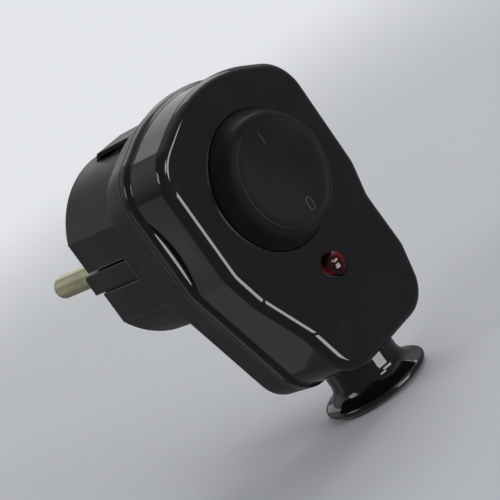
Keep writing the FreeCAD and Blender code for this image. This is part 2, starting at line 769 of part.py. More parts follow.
def rubberBoot():
    """Domed rubber cap over the rocker, with a flange clamped behind the cover."""
    topY = faceY - bootHeight
    flankY = faceY - bootFoot
    outer = [(0, topY - bootCrown), (bootTopRadius, topY), (bootRadius, flankY),
             (bootRadius, innerFaceY), (bootFlangeRadius, innerFaceY), (bootFlangeRadius, retainerY)]
    inner = [(bootRadius - bootWall, retainerY), (bootRadius - bootWall, flankY),
             (bootTopRadius - bootWall, topY + bootWall), (0, topY + bootWall)]
    outerRadii = [0, bootShoulder, bootFootRound, 0, tinyRound, tinyRound]
    innerRadii = [0, smallRound, bootShoulder - bootWall, 0]
    return turned(outer + inner, outerRadii + innerRadii, 0, buttonHeight)


def bootRetainer():
    """Flat ring that presses the boot's flange against the inside of the cover."""
    ring = cylinderY(retainerRadius, retainerY, plateY, 0, buttonHeight)
    return ring.cut(cylinderY(retainerBore, retainerY - 1, plateY + 1, 0, buttonHeight))


def lampLens():
    """Red domed lens, pushed through the cover from behind and stopped by its flange."""
    innerRadius = lensRadius - lensWall
    rearY = lensSeatY + lensFlange
    corners = [(0, lensTopY), (lensRadius, lensTopY), (lensRadius, lensSeatY), (lensFlangeRadius, lensSeatY),
               (lensFlangeRadius, rearY), (innerRadius, rearY), (innerRadius, lensTopY + lensWall),
               (0, lensTopY + lensWall)]
    radii = [0, lensDome, 0, tinyRound, tinyRound, 0, lensDome - lensWall, 0]
    return turned(corners, radii, 0, lampHeight)


def neonLamp():
    """Small glass tube with a sealed tip, standing in the lens."""
    corners = [(0, neonTipY), (neonRadius, neonTipY), (neonRadius, neonEndY), (0, neonEndY)]
    return turned(corners, [0, neonRadius - smallRound, smallRound, 0], 0, lampHeight)


def leadLeft():
    """Wire from the lamp to the left load terminal."""
    return bentWire([(-leadSpread, neonEndY, lampHeight), (-leadSpread, leadY, lampHeight),
                     (-poleX, leadY, lampHeight), (-poleX, leadY, leadPadZ)], leadRadius)


def leadNear():
    """Wire from the lamp to its resistor."""
    return bentWire([(leadSpread, neonEndY, lampHeight), (leadSpread, leadY, lampHeight),
                     (resistorStart, leadY, lampHeight)], leadRadius)


def leadFar():
    """Wire from the resistor to the right load terminal."""
    start = resistorStart + resistorLength
    return bentWire([(start, leadY, lampHeight), (start + resistorRadius, leadY, lampHeight),
                     (start + resistorRadius, leadY, leadPadZ), (poleX, leadY, leadPadZ)], leadRadius)


def resistor():
    """Series resistor of the neon lamp, lying across the handle."""
    rod = cylinderX(resistorRadius, resistorStart, resistorStart + resistorLength, leadY, lampHeight)
    return rod.makeFillet(smallRound, edgesAt(rod, lambda e: e.Curve.TypeId == "Part::GeomCircle"))


def cableClamp():
    """Arched bar across the cable, grooved to its size, on the two posts of the rear housing."""
    half = clampSpread + clampPostRadius
    inner = clampSpread - screwHeadRadius - smallRound
    corners = [(-half, clampSeatY), (-half, clampSeatY - clampBarThickness),
               (-inner, clampSeatY - clampBarThickness), (-inner, clampSeatY - clampArch),
               (inner, clampSeatY - clampArch), (inner, clampSeatY - clampBarThickness),
               (half, clampSeatY - clampBarThickness), (half, clampSeatY)]
    low = clampHeight - clampBarWidth / 2
    side = [0, smallRound, smallRound, clampArchRound]
    wire = roundedWire(corners, side + side[::-1], lambda x, y: vec(x, y, low))
    bar = Part.Face(wire).extrude(vec(0, 0, clampBarWidth))
    bar = bar.cut(neckHole(cableRadius, low - 1, low + clampBarWidth + 1))
    archY = clampSeatY - clampArch
    for x in (clampSpread, -clampSpread):
        bar = bar.cut(cylinderY(screwRadius + screwGap, archY, clampSeatY + 1, x, clampHeight))
    return bar


def flareArc(rStart, zStart, rEnd, zEnd, place):
    """Arc that leaves (rStart, zStart) along the axis and curves out to (rEnd, zEnd)."""
    out, down = rEnd - rStart, zStart - zEnd
    radius = (out * out + down * down) / (2 * out)
    half = math.atan2(down, radius - out) / 2
    middle = (rStart + radius - radius * math.cos(half), zStart - radius * math.sin(half))
    return Part.Arc(place(rStart, zStart), place(*middle), place(rEnd, zEnd)).toShape()


def cableBell():
    """Flared cable inlet: collar held between the shells, neck, trumpet with a thick rolled lip."""
    def place(r, z):
        return vec(r, cableY, z)
    collarTop = collarUnder + bellCollar
    neckEnd = outlineEnd - bellStraight
    outerStart = (bellNeckRadius, neckEnd)
    outerEnd = (bellRimRadius - bellLip / 4, bellEnd + bellLip)
    lipMiddle = (bellRimRadius, bellEnd + bellLip / 2)
    lipFoot = (bellRimRadius - bellLip / 2, bellEnd)
    innerEnd = (bellRimRadius - bellWall, bellEnd + bellLip / 5)
    edges = [Part.makeLine(place(bellBore, collarTop), place(bellCollarRadius, collarTop)),
             Part.makeLine(place(bellCollarRadius, collarTop), place(bellCollarRadius, collarUnder)),
             Part.makeLine(place(bellCollarRadius, collarUnder), place(bellNeckRadius, collarUnder)),
             Part.makeLine(place(bellNeckRadius, collarUnder), place(*outerStart)),
             flareArc(*outerStart, *outerEnd, place),
             Part.Arc(place(*outerEnd), place(*lipMiddle), place(*lipFoot)).toShape(),
             Part.makeLine(place(*lipFoot), place(*innerEnd)),
             flareArc(bellBore, neckEnd, *innerEnd, place),
             Part.makeLine(place(bellBore, neckEnd), place(bellBore, collarTop))]
    solid = Part.Face(Part.Wire(edges)).revolve(vec(0, cableY, 0), Z, 360)
    reach = 2 * bellCollarRadius
    overFloor = block(-reach, reach, floorY - softGap, floorY + reach, collarUnder - joinDepth, collarTop + 1)
    return solid.cut(overFloor)


def smallScrew(x, z, seatY, reach, headSide):
    return screw(x, z, seatY, reach, headSide, smallScrewRadius, smallHeadRadius, smallHead)


save("rear_housing", rearHousing())
save("front_cover", frontCover())
save("pin_carrier", pinCarrier())
save("earth_socket", earthSocket())
save("earth_strap", earthStrap())
save("earth_screw", screw(0, earthScrewHeight, strapY - strapThickness, earthScrewLength, -1))
save("switch_base", switchBase())
save("rocker", rocker())
save("rubber_boot", rubberBoot())
save("boot_retainer", bootRetainer())
save("lamp_lens", lampLens())
save("neon_lamp", neonLamp())
save("lamp_resistor", resistor())
save("lamp_lead_left", leadLeft())
save("lamp_lead_near", leadNear())
save("lamp_lead_far", leadFar())
save("cable_clamp", cableClamp())
save("cable_bell", cableBell())
for name, side in (("left", -1), ("right", 1)):
    save("pin_" + name, pin(side * pinX))
    save("pin_screw_" + name, screw(side * pinX, 0, pinRearY - stripThickness, pinScrewLength, -1))
    save("line_terminal_" + name, lineTerminal(side * poleX))
    save("load_terminal_" + name, loadTerminal(side * poleX))
    save("terminal_screw_" + name, smallScrew(side * poleX, terminalEndZ + terminalLength / 2,
                                              baseFloorY, terminalScrewLength, 1))
    save("contact_lever_" + name, contactLever(side * poleX))
    save("plunger_" + name, plunger(side * poleX))
    save("plunger_spring_" + name, plungerSpring(side * poleX))
    save("clamp_screw_" + name, screw(side * clampSpread, clampHeight, clampSeatY - clampBarThickness,
                                      clampScrewLength, -1))
    save("housing_screw_" + name, screw(side * housingScrewPlace[0], housingScrewPlace[1],
                                        flangeBackY - screwHead, housingScrewLength, 1))
for i, (x, z) in enumerate(baseScrews):
    save("base_screw_" + str(i + 1), smallScrew(x, z, plateRearY, baseScrewLength, 1))
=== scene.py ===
import json
import math
import bpy
import numpy as np
from mathutils import Matrix, Vector


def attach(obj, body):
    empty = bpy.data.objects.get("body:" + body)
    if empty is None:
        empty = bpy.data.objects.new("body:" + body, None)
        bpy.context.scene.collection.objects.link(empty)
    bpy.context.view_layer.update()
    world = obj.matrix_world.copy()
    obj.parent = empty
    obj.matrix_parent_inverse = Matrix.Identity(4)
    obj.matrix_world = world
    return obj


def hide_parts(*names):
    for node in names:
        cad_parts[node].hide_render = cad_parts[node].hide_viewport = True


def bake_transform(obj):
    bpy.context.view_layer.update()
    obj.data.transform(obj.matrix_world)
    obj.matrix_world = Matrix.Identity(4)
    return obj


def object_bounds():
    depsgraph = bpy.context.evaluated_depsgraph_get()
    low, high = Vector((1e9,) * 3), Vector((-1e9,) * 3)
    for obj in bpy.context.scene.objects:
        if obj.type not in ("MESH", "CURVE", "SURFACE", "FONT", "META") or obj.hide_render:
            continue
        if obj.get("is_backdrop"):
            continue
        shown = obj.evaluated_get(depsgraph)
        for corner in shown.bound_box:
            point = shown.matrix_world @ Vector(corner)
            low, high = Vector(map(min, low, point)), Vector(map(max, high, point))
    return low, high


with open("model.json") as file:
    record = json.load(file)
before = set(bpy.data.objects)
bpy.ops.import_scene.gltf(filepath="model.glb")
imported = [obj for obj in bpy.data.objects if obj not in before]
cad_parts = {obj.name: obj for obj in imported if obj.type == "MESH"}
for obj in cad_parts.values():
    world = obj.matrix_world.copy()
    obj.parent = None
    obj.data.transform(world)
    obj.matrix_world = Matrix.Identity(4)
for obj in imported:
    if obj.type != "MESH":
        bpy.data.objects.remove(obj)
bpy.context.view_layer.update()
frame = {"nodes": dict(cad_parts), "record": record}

# Looks of the switched angle plug: lengths below are in millimetres, objects are in metres.
scene = bpy.context.scene


# Colours and nodes

def linear(code):  # sRGB hex code to linear colour
    parts = [int(code[i:i + 2], 16) / 255 for i in (0, 2, 4)]
    return [p / 12.92 if p <= 0.04045 else ((p + 0.055) / 1.055) ** 2.4 for p in parts] + [1.0]


# links and values give, for a socket's name or number, the output that feeds it or its value;
# settings are the node's own properties, or values of sockets by name with _ for a space
def addNode(tree, kind, links=None, values=None, **settings):
    node = tree.nodes.new(kind)
    for key, value in settings.items():
        if hasattr(node, key):
            setattr(node, key, value)
        else:
            node.inputs[key.replace("_", " ")].default_value = value
    for key, value in (values or {}).items():
        node.inputs[key].default_value = value
    for key, output in (links or {}).items():
        tree.links.new(output, node.inputs[key])
    return node


def startMaterial(name):
    material = bpy.data.materials.new(name)
    material.use_nodes = True
    tree = material.node_tree
    coords = addNode(tree, "ShaderNodeTexCoord")
    return material, tree, tree.nodes["Principled BSDF"], coords.outputs["Object"]


# noise with blobs of sizeMm, spread from low to high
def noiseBand(tree, coords, sizeMm, low, high):
    noise = addNode(tree, "ShaderNodeTexNoise", {"Vector": coords}, Scale=1000 / sizeMm, Detail=3.0)
    spread = addNode(tree, "ShaderNodeMapRange", {"Value": noise.outputs["Fac"]},
                     From_Min=0.3, From_Max=0.7, To_Min=low, To_Max=high)
    return spread.outputs["Result"]


# what all mouldings share: drifts of colour and gloss, specks of dust, and a painted highlight of pale grey
# along the edges
moulding = dict(colourDrift=9.0, glossDrift=6.0, speckGap=3.0, speckFull=0.02, speckEnd=0.03,
                speck="9a9a96", edgeHighlight="747476", highlightStart=0.99, highlightFull=0.9, highlightShare=0.9,
                edgeSamples=6)

# what all metals share: direction and depth of the marks, tarnish's share of brightness, patch sizes
metalwork = dict(stretch=(0.15, 1.0, 0.15), markDepth=0.004, tarnish=0.72, tarnishPatch=5.0,
                 sheenPatch=2.5)


def addBump(tree, shader, coords, sizeMm, depthMm, edgeMm=0.0):
    noise = addNode(tree, "ShaderNodeTexNoise", {"Vector": coords}, Scale=1000 / sizeMm, Detail=2.0)
    bump = addNode(tree, "ShaderNodeBump", {"Height": noise.outputs["Fac"]}, Distance=depthMm / 1000,
                   Strength=1.0)
    if edgeMm > 0:  # moulded edges are never sharp: this rounds them in the shading
        rounded = addNode(tree, "ShaderNodeBevel", samples=moulding["edgeSamples"], Radius=edgeMm / 1000)
        tree.links.new(rounded.outputs["Normal"], bump.inputs["Normal"])
    tree.links.new(bump.outputs["Normal"], shader.inputs["Normal"])


# injection moulded plastic: slow colour drift, uneven gloss, surface grain, a little dust; gloss is
# the shader's specular level, where 0.5 is the full reflection of its IOR; 6 and 7 are a mix's colours
def mouldedPlastic(name, dark, light, roughLow, roughHigh, grainMm, grainDepth, gloss=0.5, ior=1.54,
                   dust=0.0, edgeMm=0.0):
    c = moulding
    material, tree, shader, coords = startMaterial(name)
    drift = noiseBand(tree, coords, c["colourDrift"], 0.0, 1.0)
    colour = addNode(tree, "ShaderNodeMix", {"Factor": drift}, {6: linear(dark), 7: linear(light)},
                     data_type="RGBA").outputs[2]
    if edgeMm > 0:  # painted highlight: the edges are lightened grey where the rounded normal leaves the true one
        rounded = addNode(tree, "ShaderNodeBevel", samples=c["edgeSamples"], Radius=edgeMm / 1000)
        surface = addNode(tree, "ShaderNodeNewGeometry")
        along = addNode(tree, "ShaderNodeVectorMath",
                        {0: rounded.outputs["Normal"], 1: surface.outputs["True Normal"]},
                        operation="DOT_PRODUCT")
        # painted edge highlight: how much of the pale grey goes into the colour at each edge
        worn = addNode(tree, "ShaderNodeMapRange", {"Value": along.outputs["Value"]},
                       From_Min=c["highlightStart"], From_Max=c["highlightFull"], To_Min=0.0, To_Max=c["highlightShare"])
        colour = addNode(tree, "ShaderNodeMix", {"Factor": worn.outputs["Result"], 6: colour},
                         {7: linear(c["edgeHighlight"])}, data_type="RGBA").outputs[2]
    if dust > 0:
        cells = addNode(tree, "ShaderNodeTexVoronoi", {"Vector": coords}, Scale=1000 / c["speckGap"],
                        Randomness=1.0)
        speck = addNode(tree, "ShaderNodeMapRange", {"Value": cells.outputs["Distance"]},
                        From_Min=c["speckFull"], From_Max=c["speckEnd"], To_Min=dust, To_Max=0.0)
        colour = addNode(tree, "ShaderNodeMix", {"Factor": speck.outputs["Result"], 6: colour},
                         {7: linear(c["speck"])}, data_type="RGBA").outputs[2]
    tree.links.new(colour, shader.inputs["Base Color"])
    tree.links.new(noiseBand(tree, coords, c["glossDrift"], roughLow, roughHigh), shader.inputs["Roughness"])
    shader.inputs["IOR"].default_value = ior
    shader.inputs["Specular IOR Level"].default_value = gloss
    addBump(tree, shader, coords, grainMm, grainDepth, edgeMm)
    return material


# metal with faint marks of its making across Y and uneven tarnish
def turnedMetal(name, colour, roughLow, roughHigh, ringMm):
    c = metalwork
    material, tree, shader, coords = startMaterial(name)
    stretched = addNode(tree, "ShaderNodeMapping", {"Vector": coords}, {"Scale": c["stretch"]})
    rings = addNode(tree, "ShaderNodeTexNoise", {"Vector": stretched.outputs["Vector"]},
                    Scale=1000 / ringMm, Detail=4.0)
    bump = addNode(tree, "ShaderNodeBump", {"Height": rings.outputs["Fac"]},
                   Distance=c["markDepth"] / 1000, Strength=1.0)
    tree.links.new(bump.outputs["Normal"], shader.inputs["Normal"])
    bright = linear(colour)
    dull = [part * c["tarnish"] for part in bright[:3]] + [1.0]
    patches = noiseBand(tree, coords, c["tarnishPatch"], 0.0, 1.0)
    tarnished = addNode(tree, "ShaderNodeMix", {"Factor": patches}, {6: bright, 7: dull}, data_type="RGBA")
    tree.links.new(tarnished.outputs[2], shader.inputs["Base Color"])
    tree.links.new(noiseBand(tree, coords, c["sheenPatch"], roughLow, roughHigh), shader.inputs["Roughness"])
    shader.inputs["Metallic"].default_value = 1.0
    return material


# clear moulded or blown body, tinted, with a slightly uneven surface
def clearMaterial(name, colour, ior, roughness):
    material, tree, shader, coords = startMaterial(name)
    shader.inputs["Base Color"].default_value = linear(colour)
    shader.inputs["Transmission Weight"].default_value = 1.0
    shader.inputs["IOR"].default_value = ior
    tree.links.new(noiseBand(tree, coords, 3.0, roughness * 0.7, roughness * 1.3), shader.inputs["Roughness"])
    addBump(tree, shader, coords, 1.5, 0.002)
    return material


# housing: broad soft lights on a dull black, and thin grey lines painted along its edges as highlights; the
# real grain is too fine to show, so it is drawn coarser
matteAbs = mouldedPlastic("matte moulded ABS", "1d1d1e", "232324", 0.34, 0.46, 0.35, 0.005, gloss=0.4,
                          edgeMm=0.5)
# cover and bell: a deep wet black with clear lights in it, a little wavy, and a few specks of dust
glossAbs = mouldedPlastic("polished moulded ABS", "0f0f10", "131314", 0.035, 0.06, 1.8, 0.0008, dust=0.4)
# boot: a soft black with hardly any reflection
rubber = mouldedPlastic("moulded nitrile rubber", "141414", "1d1d1d", 0.32, 0.42, 0.6, 0.012, gloss=0.1,
                        ior=1.52)
# switch marks: rubbed grey, so that they can be read on the dark boot
wornRubber = mouldedPlastic("worn nitrile rubber", "303030", "3a3a3a", 0.36, 0.48, 0.6, 0.008, gloss=0.2,
                            ior=1.52)
# switch mouldings: a brown, warmer than the black of the housing
thermoset = mouldedPlastic("moulded phenolic", "2b2119", "33271d", 0.35, 0.5, 0.6, 0.004, ior=1.6)
# pins: pale metal with a hint of yellow, whose turning marks stretch the lights; real marks are too
# fine to show, so these are coarser
nickelBrass = turnedMetal("nickel plated turned brass", "d9d5b2", 0.22, 0.38, 0.12)
# earth strap: nickel plating painted dark as shade, so the strip shows as a dark line that only gleams
shadeDarkStrip = turnedMetal("tarnished nickel plated strip", "3d3b37", 0.3, 0.45, 0.3)
# contacts: bright yellow with duller patches
sheetBrass = turnedMetal("rolled sheet brass", "c9a25e", 0.2, 0.36, 0.3)
# screws: a plain light grey
zincSteel = turnedMetal("zinc plated steel", "b4b4b2", 0.25, 0.42, 0.2)
# lamp leads: silvery, a little paler than the screws
tinnedWire = turnedMetal("tinned copper wire", "c0bfbb", 0.25, 0.4, 0.3)
# resistor: an even brown with a soft shine
lacquer = mouldedPlastic("lacquered ceramic", "8a6a44", "97764e", 0.3, 0.45, 0.4, 0.003, ior=1.5)
# lamp lens: a dark red drop that lets light through and keeps a clear shine
redAcrylic = clearMaterial("clear red moulded acrylic", "a01414", 1.49, 0.03)
# neon lamp: glass that is seen by its shine alone
lampGlass = clearMaterial("blown soda glass", "f4f4f0", 1.52, 0.02)
print("materials ready")


# Mesh makers

def meshObject(name, points, faces, material):
    mesh = bpy.data.meshes.new(name)
    mesh.from_pydata((np.asarray(points) / 1000).tolist(), [], faces)
    mesh.polygons.foreach_set("use_smooth", np.ones(len(mesh.polygons), dtype=bool))
    mesh.materials.append(material)
    mesh.update()
    piece = bpy.data.objects.new(name, mesh)
    scene.collection.objects.link(piece)
    return piece


# quads of a grid that closes round its columns, and round its rows if closeRows
def ringFaces(rows, columns, closeRows):
    i = np.arange(rows if closeRows else rows - 1)[:, None]
    j = np.arange(columns)[None, :]
    below, right = (i + 1) % rows, (j + 1) % columns
    quads = [i * columns + j, i * columns + right, below * columns + right, below * columns + j]
    return np.stack(quads, axis=-1).reshape(-1, 4)


# profile turned about an axis: point = (r cos a, r sin a, h)
def latheGrid(radii, heights, steps):
    angle = np.linspace(0, 2 * np.pi, steps, endpoint=False)
    r, h = np.asarray(radii)[:, None], np.asarray(heights)[:, None]
    return np.stack([r * np.cos(angle), r * np.sin(angle), h + 0 * angle], axis=-1)


# arc in place of corner i: its centre, the unit vectors from there to its start and end, and its angle
def cornerArc(corners, i, radius):
    here = np.array(corners[i], float)
    u = np.array(corners[i - 1], float) - here
    v = np.array(corners[(i + 1) % len(corners)], float) - here
    u, v = u / np.linalg.norm(u), v / np.linalg.norm(v)
    half = math.acos(np.clip(u @ v, -1, 1)) / 2
    centre = here + (u + v) / np.linalg.norm(u + v) * radius / math.sin(half)
    start = (here + u * radius / math.tan(half) - centre) / radius
    end = (here + v * radius / math.tan(half) - centre) / radius
    return centre, start, end, math.acos(np.clip(start @ end, -1, 1))


# unit vectors swung from start to end of an arc, at the shares t of its angle
def swing(start, end, angle, t):
    return (np.sin((1 - t) * angle) * start + np.sin(t * angle) * end) / math.sin(angle)


# corner list with each corner replaced by an arc of its radius
def roundCorners(corners, radii, perArc):
    out = []
    t = np.linspace(0, 1, perArc + 1)[:, None]
    for i, radius in enumerate(radii):
        if radius == 0:
            out.append([corners[i]])
        else:
            centre, start, end, angle = cornerArc(corners, i, radius)
            out.append(centre + radius * swing(start, end, angle, t))
    return np.vstack(out)


# closed profile (r, h) turned about an axis; place maps its points into the frame
def closedLathe(name, profile, steps, place, material):
    grid = latheGrid(profile[:, 0], profile[:, 1], steps)
    faces = ringFaces(len(profile), steps, True)
    return meshObject(name, place(grid.reshape(-1, 3)), faces.tolist(), material)


# profile whose first and last points lie on the axis, closed there by fans
def domedLathe(name, profile, steps, place, material):
    inner = profile[1:-1]
    grid = latheGrid(inner[:, 0], inner[:, 1], steps).reshape(-1, 3)
    first, last = len(grid), len(grid) + 1
    points = np.vstack([grid, [[0, 0, profile[0, 1]], [0, 0, profile[-1, 1]]]])
    faces = ringFaces(len(inner), steps, False).tolist()
    base = (len(inner) - 1) * steps
    for j in range(steps):
        right = (j + 1) % steps
        faces.append([first, right, j])
        faces.append([last, base + j, base + right])
    return meshObject(name, place(points), faces, material)


# Front cover: deep polished shell

cover = dict(halfWidth=21.6, top=22.9, topRadius=29.44, topTangent=25.0, cornerRadius=9.8, taperStart=-8.3,
             taperRadius=9.0, endHalf=13.7, end=-37.6, endRadius=7.9, spacing=0.36, parting=-31.3,
             face=-43.8, rise=3.5, riseTop=-14.8, riseBottom=-25.5, foldWidth=0.5, groove=0.4,
             grooveShare=0.6, beadHeight=2.3, beadRound=0.9, beadTurn=50.0, deeperZ=-0.3,
             deeperReach=11.5, deeperTurn=20.0, flankLeast=0.05, flank=0.58, hollow=0.66,
             wallInset=0.7, fillet=1.9, wall=2.2, front=2.0, buttonZ=0.7, ring=13.75, collarWidth=1.6,
             collarHeight=0.07, collarEdge=0.05, collarFoot=0.25)


# points on the outline and their outward normals, seen from the front as (x, z)
def outlineSamples(c):
    slope = math.tan(math.radians(c["topTangent"]))
    apex = c["top"] + c["topRadius"] * (1 / math.cos(math.radians(c["topTangent"])) - 1)
    shoulder = apex - c["halfWidth"] * slope
    corners = [(0, apex), (c["halfWidth"], shoulder), (c["halfWidth"], c["taperStart"]),
               (c["endHalf"], c["end"]), (-c["endHalf"], c["end"]), (-c["halfWidth"], c["taperStart"]),
               (-c["halfWidth"], shoulder)]
    radii = [c["topRadius"], c["cornerRadius"], c["taperRadius"], c["endRadius"],
             c["endRadius"], c["taperRadius"], c["cornerRadius"]]
    arcs = [cornerArc(corners, i, radius) for i, radius in enumerate(radii)]
    points, normals = [], []
    for i, (centre, start, end, angle) in enumerate(arcs):
        t = np.linspace(0, 1, max(4, round(angle * radii[i] / c["spacing"])), endpoint=False)[:, None]
        turned = swing(start, end, angle, t)
        points.append(centre + radii[i] * turned)
        normals.append(turned)
        # straight line to the next arc
        after = (i + 1) % len(arcs)
        a, b = centre + radii[i] * end, arcs[after][0] + radii[after] * arcs[after][1]
        steps = max(2, round(np.linalg.norm(b - a) / c["spacing"]))
        points.append(a + (b - a) * np.linspace(0, 1, steps, endpoint=False)[:, None])
        normals.append(np.repeat(end[None, :], steps, axis=0))
    return np.vstack(points), np.vstack(normals)


# level of the front face: two flats joined by a slope, each fold softened by a square root
def roof(z, c, drop=0.0):
    def ramp(x):
        return (x + np.sqrt(x * x + c["foldWidth"] ** 2)) / 2
    share = (ramp(c["riseTop"] - z) - ramp(c["riseBottom"] - z)) / (c["riseTop"] - c["riseBottom"])
    return c["face"] + drop - c["rise"] * share


# rings of the outline, inset and lifted: bead, cove, wall, fillet, face, collar, then back inside
def buildCover(c):
    outline, normal = outlineSamples(c)
    rows = []

    def addRow(flat, y):
        rows.append(np.stack([flat[:, 0], y + 0 * flat[:, 0], flat[:, 1]], axis=-1))

    # finger hollow half way down each side: the bead turns in further there, onto a straight flank
    bead, beadTop = c["beadRound"], c["parting"] - c["beadHeight"]
    away = (outline[:, 1] - c["deeperZ"]) / c["deeperReach"]
    turn = np.radians(c["beadTurn"] + c["deeperTurn"] * np.exp(-away ** 4))
    lensShape = np.clip(1 - 2 * away ** 2, 0, 1)
    flank, hollow = c["flankLeast"] + c["flank"] * lensShape, c["hollow"] * lensShape
    flankStart = bead * (1 - np.cos(turn))
    cove = (c["wallInset"] + hollow - flankStart - flank * np.sin(turn)) / (1 - np.cos(turn))
    # the joint's groove, then the bead's two arcs: outwards to the turn, and back into the wall
    addRow(outline - normal * c["groove"], c["parting"])
    addRow(outline - normal * c["groove"], c["parting"] - c["groove"] * c["grooveShare"])
    for y in np.linspace(c["parting"] - c["groove"], beadTop + bead, 6, endpoint=False):
        addRow(outline, y)
    for t in np.linspace(0, 1, 10):
        inset = bead * (1 - np.cos(turn * t))
        addRow(outline - normal * inset[:, None], beadTop + bead - bead * np.sin(turn * t))
    beadEnd = beadTop + bead - bead * np.sin(turn)
    for t in np.linspace(0, 1, 5)[1:]:
        inset = flankStart + t * flank * np.sin(turn)
        addRow(outline - normal * inset[:, None], beadEnd - t * flank * np.cos(turn))
    flankEnd = beadEnd - flank * np.cos(turn)
    for t in np.linspace(1, 0, 10)[1:]:
        inset = c["wallInset"] + hollow - cove * (1 - np.cos(turn * t))
        addRow(outline - normal * inset[:, None], flankEnd - cove * (np.sin(turn) - np.sin(turn * t)))
    # the wall comes out of the hollow in a smooth step
    wallStart = flankEnd - cove * np.sin(turn)
    wallFlat = outline - normal * c["wallInset"]
    wallTop = roof(wallFlat[:, 1], c) + c["fillet"]
    for t in np.linspace(0, 1, 24)[1:-1]:
        back = hollow * (1 - t * t * (3 - 2 * t))
        addRow(wallFlat - normal * back[:, None], (1 - t) * wallStart + t * wallTop)
    for a in np.linspace(0, math.pi / 2, 14):
        flat = outline - normal * (c["wallInset"] + c["fillet"] * (1 - math.cos(a)))
        addRow(flat, roof(flat[:, 1], c) + c["fillet"] * (1 - math.sin(a)))

    # front face: from the fillet straight towards the middle of the switch opening
    centre = np.array([0, c["buttonZ"]])
    edge = outline - normal * (c["wallInset"] + c["fillet"])
    away = edge - centre
    outwards = away / np.linalg.norm(away, axis=1)[:, None]
    outerRing = c["ring"] + c["collarWidth"]
    for t in np.linspace(0, 1, 80)[1:]:
        flat = (1 - t) * edge + t * (centre + outwards * (outerRing + c["collarFoot"]))
        addRow(flat, roof(flat[:, 1], c))
    # low collar: its flank rises as a half cosine wave, then a small rounded edge and the opening's wall
    h, e = c["collarHeight"], c["collarEdge"]
    crown = [(outerRing - (c["collarWidth"] - e) * t, h / 2 * (1 - math.cos(math.pi * t)))
             for t in np.linspace(0, 1, 12)]
    crown += [(c["ring"] + e * (1 - math.sin(a)), h - e * (1 - math.cos(a)))
              for a in np.linspace(0, math.pi / 2, 6)[1:]]
    for radius, up in crown:
        flat = centre + outwards * radius
        addRow(flat, roof(flat[:, 1], c) - up)
    inside = c["face"] + c["front"]
    ringFlat = centre + outwards * c["ring"]
    for y in np.linspace(c["face"] - h + e, inside, 6)[1:]:
        addRow(ringFlat, y)
    # inner face and inner wall, back to the joint
    innerEdge = outline - normal * (c["wallInset"] + c["wall"])
    for t in np.linspace(0, 1, 24)[1:]:
        flat = (1 - t) * ringFlat + t * innerEdge
        addRow(flat, np.minimum(roof(flat[:, 1], c, c["front"]), inside))
    top = roof(innerEdge[:, 1], c, c["front"])
    for t in np.linspace(0, 1, 6)[1:]:
        addRow(innerEdge, (1 - t) * top + t * c["parting"])
    for t in np.linspace(0, 1, 5)[1:-1]:
        addRow((1 - t) * innerEdge + t * (outline - normal * c["groove"]), c["parting"])
    grid = np.stack(rows)
    faces = ringFaces(len(rows), len(outline), True)
    return meshObject("front_shell", grid.reshape(-1, 3), faces.tolist(), glossAbs)


frontShell = buildCover(cover)
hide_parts("front_cover")
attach(frontShell, "housing")
print("front cover ready", len(frontShell.data.polygons))


# Cable bell: flared tube with a thick rolled lip, axis along Z

bell = dict(axisY=-35.3, neck=7.5, neckEnd=-40.2, neckTopGap=0.5, neckEndGap=0.4, rim=11.1, end=-45.3,
            bore=4.75, boreDrop=0.2, mouthInset=1.9, mouthRise=0.35, lip=1.5, lipReach=0.8, lipStart=62.0,
            lipEnd=-115.0, flareInset=0.3, flareRise=0.1, collar=8.45, collarTop=-33.3,
            collarUnder=-34.6, collarRound=0.3, floor=-27.65)


# arc that leaves along the axis at the start and curves outwards to the end
def arcPoints(rStart, zStart, rEnd, zEnd, steps):
    out, down = rEnd - rStart, zStart - zEnd
    radius = (out * out + down * down) / (2 * out)
    a = np.linspace(0, math.atan2(down, radius - out), steps)
    return np.stack([rStart + radius * (1 - np.cos(a)), zStart - radius * np.sin(a)], axis=-1)


def buildBell(c):
    lip, reach = c["lip"] / 2, c["lipReach"]
    outer = arcPoints(c["neck"], c["neckEnd"], c["rim"] - c["flareInset"],
                      c["end"] + c["lip"] + c["flareRise"], 22)
    # rolled lip: half ellipse from the flare's edge round to the mouth
    a = np.linspace(math.radians(c["lipStart"]), math.radians(c["lipEnd"]), 18)
    rolled = np.stack([c["rim"] - reach + reach * np.cos(a), c["end"] + lip + lip * np.sin(a)], axis=-1)
    inner = arcPoints(c["bore"], c["neckEnd"] - c["boreDrop"], c["rim"] - c["mouthInset"],
                      c["end"] + c["mouthRise"], 24)[::-1]
    top = roundCorners([(c["bore"], c["collarTop"]), (c["collar"], c["collarTop"]),
                        (c["collar"], c["collarUnder"]), (c["neck"], c["collarUnder"])],
                       [c["collarRound"]] * 4, 3)
    heights = np.linspace(c["collarUnder"] - c["neckTopGap"], c["neckEnd"] + c["neckEndGap"], 6)
    neck = np.stack([np.full(6, c["neck"]), heights], axis=-1)
    profile = np.vstack([top, neck, outer[:-2], rolled, inner])

    # the collar's back is cut off flat
    def place(points):
        x, y, z = points[:, 0], points[:, 1], points[:, 2]
        inCollar = z > c["collarUnder"] - c["collarRound"]
        y = np.where(inCollar, np.minimum(y, c["floor"] - c["axisY"]), y)
        return np.stack([x, y + c["axisY"], z], axis=-1)
    return closedLathe("cable_bell_flare", profile, 160, place, glossAbs)


bellPiece = buildBell(bell)
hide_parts("cable_bell")
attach(bellPiece, "housing")
print("bell ready")


# Rubber boot: domed cap with soft waves on its flank

boot = dict(z=0.7, face=-43.8, height=4.6, crown=0.24, crownLift=0.02, topRadius=11.7, radius=13.6,
            foot=0.3, shoulder=2.2, wall=1.3, underInset=1.0, underShare=0.88, flange=15.6,
            flangeFront=-41.8, flangeRear=-40.6, waves=0.1, wavesDepth=2.2, wavesReach=1.2, ridge=0.3,
            ridgeRadius=10.6, ridgeWidth=0.42, ridgeDepth=1.2, ridgeMean=0.65, ridgeSwing=0.35,
            ridgeTurn=2.1)


